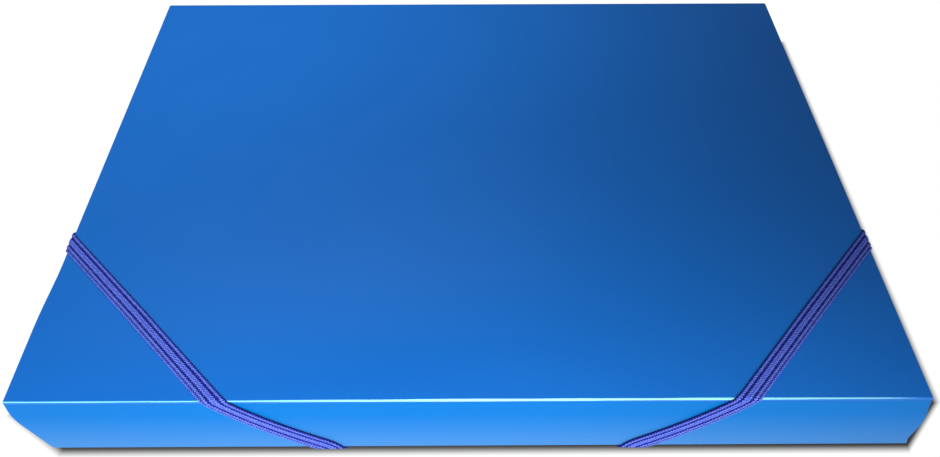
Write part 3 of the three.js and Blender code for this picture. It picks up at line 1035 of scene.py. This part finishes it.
def dome(radius, rim, height, base, steps=8):
    """Profile of a domed head from its rim at base up to the axis."""
    points = [(radius, base), (radius, base + rim)]
    for k in range(1, steps):
        angle = math.pi / 2 * k / steps
        points.append((radius * math.cos(angle), base + rim + (height - rim) * math.sin(angle)))
    return points + [(0.0, base + height)]


def stud_profile(radius, inside, outside):
    """A shank with a chamfered tip and a domed head."""
    head = outside - HEAD_HEIGHT
    tip = [(0.0, inside), (SHANK_RADIUS * 0.7, inside), (SHANK_RADIUS, inside + SHANK_CHAMFER)]
    return tip + [(SHANK_RADIUS, head)] + dome(radius, HEAD_RIM, HEAD_HEIGHT, head)


def cap_profile(radius, inside, outside):
    """A ring with a rounded outer rim and a dimple round its bore."""
    rim = [(radius, outside), (radius, outside - 0.3 * MM), (radius - 0.25 * MM, outside - 0.62 * MM),
           (radius - 0.8 * MM, outside - 0.88 * MM)]
    dimple = [(CAP_BORE + 0.7 * MM, inside), (CAP_BORE + 0.2 * MM, inside + 0.08 * MM),
              (CAP_BORE, inside + 0.3 * MM)]
    return [(CAP_BORE, outside)] + rim + dimple + [(CAP_BORE, outside)]


def make_rivets():
    """Two-piece push rivets: a domed stud outside and a ring-shaped cap with a dimple inside."""
    for name, side in (("left", -1), ("right", 1)):
        for end in ("front", "rear"):
            low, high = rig.box(f"{name}_{end}_rivet_stud")
            origin = Vector((0, (low.y + high.y) / 2, (low.z + high.z) / 2))
            radius = (high.z - low.z) / 2
            for part, profile in (("stud", stud_profile), ("cap", cap_profile)):
                node = f"{name}_{end}_rivet_{part}"
                inside, outside = sorted(abs(corner.x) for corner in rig.box(node))
                outline = profile(radius, inside, outside)
                piece = turned(f"{name}_{end}_{part}", outline, origin, AXIS_X * side, RIVET)
                fit(piece, "tray", "rivet", node)


def make_clips():
    """Each band end is held in a strip of metal folded over it, too long to pass back through the slot."""
    reach = BAND_MID + CLIP_WALL / 2
    half = CLIP_LENGTH / 2
    for name, side in (("left", -1), ("right", 1)):
        run = Vector((-side, 1, 0)).normalized()
        across = Vector((run.y, -run.x, 0))
        for end in ("front", "side"):
            node = f"{name}_elastic_{end}_clip"
            low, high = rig.box(node)
            centre = (low + high) / 2
            centre.z = 0
            top = high.z - CLIP_WALL / 2
            path = rounded_path([(-reach, low.z), (-reach, top), (reach, top), (reach, low.z)], CLIP_BEND)
            place = lambda p, w: centre + run * p[0] + across * w + AXIS_Z * p[1]
            spans = [(-half, half)] * len(path)
            clip = bent_sheet(f"{name}_{end}_clip", path, spans, place, [METAL, METAL], thickness=CLIP_WALL)
            fit(clip, "tray", "clip_metal", node)


make_rivets()
make_clips()


# ---------------------------------------------------------------- floor, light and camera
FLOOR_HALF = 4.0
FOOT_Y = FLAP_LOW.y + 0.9 * MM               # where the front flap's painted shadow starts
SHADOW_FADE = (0.2 * MM, 4.8 * MM)           # from dark to white, past the shadow's outline
SHADOW_SIDES = [                             # outward direction, and a point on that side of the outline
    ((1, 0), (HALF + 17 * MM, 0)),
    ((0, -1), (0, FOOT_Y)),
    ((-1, 0), (-HALF - 12 * MM, 0)),
    ((0, 1), (0, REAR_Y - 1 * MM)),
    ((1.15, -1.10), (HALF + 1.2 * MM, FOOT_Y)),
    ((-0.54, -0.84), (-HALF + 11 * MM, FOOT_Y)),
]


def make_floor():
    """A level floor that glows white, except in a painted soft shadow in front of and beside the box.

    The painted shadow is what lies inside every side of a convex outline. Beside the box it is a lighter grey.
    """
    m = Nodes("studio_floor")
    place = m.coordinates()
    outside = -1.0
    for direction, point in SHADOW_SIDES:
        out = Vector((*direction, 0))
        along = m.add("ShaderNodeVectorMath", operation="DOT_PRODUCT")
        along.inputs[1].default_value = out
        m.link(place, along.inputs[0])
        beyond = m.math("SUBTRACT", along.outputs["Value"], out.dot(Vector((*point, 0))))
        outside = m.math("MAXIMUM", beyond, outside)
    glow = m.remap(outside, *SHADOW_FADE, 0.0, 1.0, smooth=True)
    x, y, _ = m.split(place)
    beside = m.remap(x, HALF + 1 * MM, HALF + 12 * MM, 0.0, 0.3, smooth=True)
    behind_front = m.remap(y, FOOT_Y + 12 * MM, FOOT_Y + 50 * MM, 0.0, 1.0, smooth=True)
    glow = m.math("MAXIMUM", glow, m.math("MULTIPLY", beside, behind_front))
    m.set(Base_Color=(0.06, 0.06, 0.06), Roughness=1.0, Specular_IOR_Level=0.0)
    m.set(Emission_Color=WHITE, Emission_Strength=glow)
    corners = [(-1, -1), (1, -1), (1, 1), (-1, 1)]
    verts = [(x * FLOOR_HALF, y * FLOOR_HALF, 0) for x, y in corners]
    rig.stage(add_object("studio_floor", verts, [(0, 1, 2, 3)], [m.material]))


def area_light(name, place, target, power, size=0.3):
    lamp = bpy.data.lights.new(name, "AREA")
    lamp.shape = "SQUARE"
    lamp.size = size
    lamp.energy = power
    obj = bpy.data.objects.new(name, lamp)
    bpy.context.scene.collection.objects.link(obj)
    obj.location = place
    obj.rotation_euler = (Vector(target) - Vector(place)).to_track_quat("-Z", "Y").to_euler()
    obj.visible_camera = False


def make_world(ambient, backdrop):
    """Dim ambient light, behind a white backdrop that only the camera sees."""
    world = bpy.data.worlds.new("studio")
    world.use_nodes = True
    tree = world.node_tree
    background = tree.nodes["Background"]
    background.inputs["Color"].default_value = (*WHITE, 1)
    rays = tree.nodes.new("ShaderNodeLightPath")
    strength = tree.nodes.new("ShaderNodeMapRange")
    strength.inputs["To Min"].default_value = ambient
    strength.inputs["To Max"].default_value = backdrop
    tree.links.new(rays.outputs["Is Camera Ray"], strength.inputs["Value"])
    tree.links.new(strength.outputs["Result"], background.inputs["Strength"])
    bpy.context.scene.world = world


def make_camera(place, lens, yaw, pitch, roll):
    """A camera that faces +Y, turned left by yaw, down by pitch and round its axis by roll, in degrees."""
    camera = bpy.data.cameras.new("camera")
    camera.sensor_width = 36
    camera.lens = lens
    obj = bpy.data.objects.new("camera", camera)
    bpy.context.scene.collection.objects.link(obj)
    obj.location = place
    turn = Matrix.Rotation(math.radians(yaw), 4, "Z")
    turn = turn @ Matrix.Rotation(math.radians(90 - pitch), 4, "X")
    turn = turn @ Matrix.Rotation(math.radians(-roll), 4, "Z")
    obj.rotation_euler = turn.to_euler()
    bpy.context.scene.camera = obj


make_floor()
make_world(ambient=0.17, backdrop=1.0)
area_light("key", (0.045, -0.42, 0.327), (-0.11, -0.578, 0), 6.6)
area_light("back", (-0.106, 0.096, 0.349), (-0.2, 0.622, 0), 1.15)
make_camera(Vector((-0.5, -239.98, 276.11)) * MM, 29.12, -0.246, 50.763, 0.062)
bpy.context.scene.view_settings.view_transform = "Standard"

visual_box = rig.bounds()
with open("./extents.json", "w") as out:
    json.dump({"cad_box": [list(v) for v in cad_box], "visual_box": [list(v) for v in visual_box]}, out)
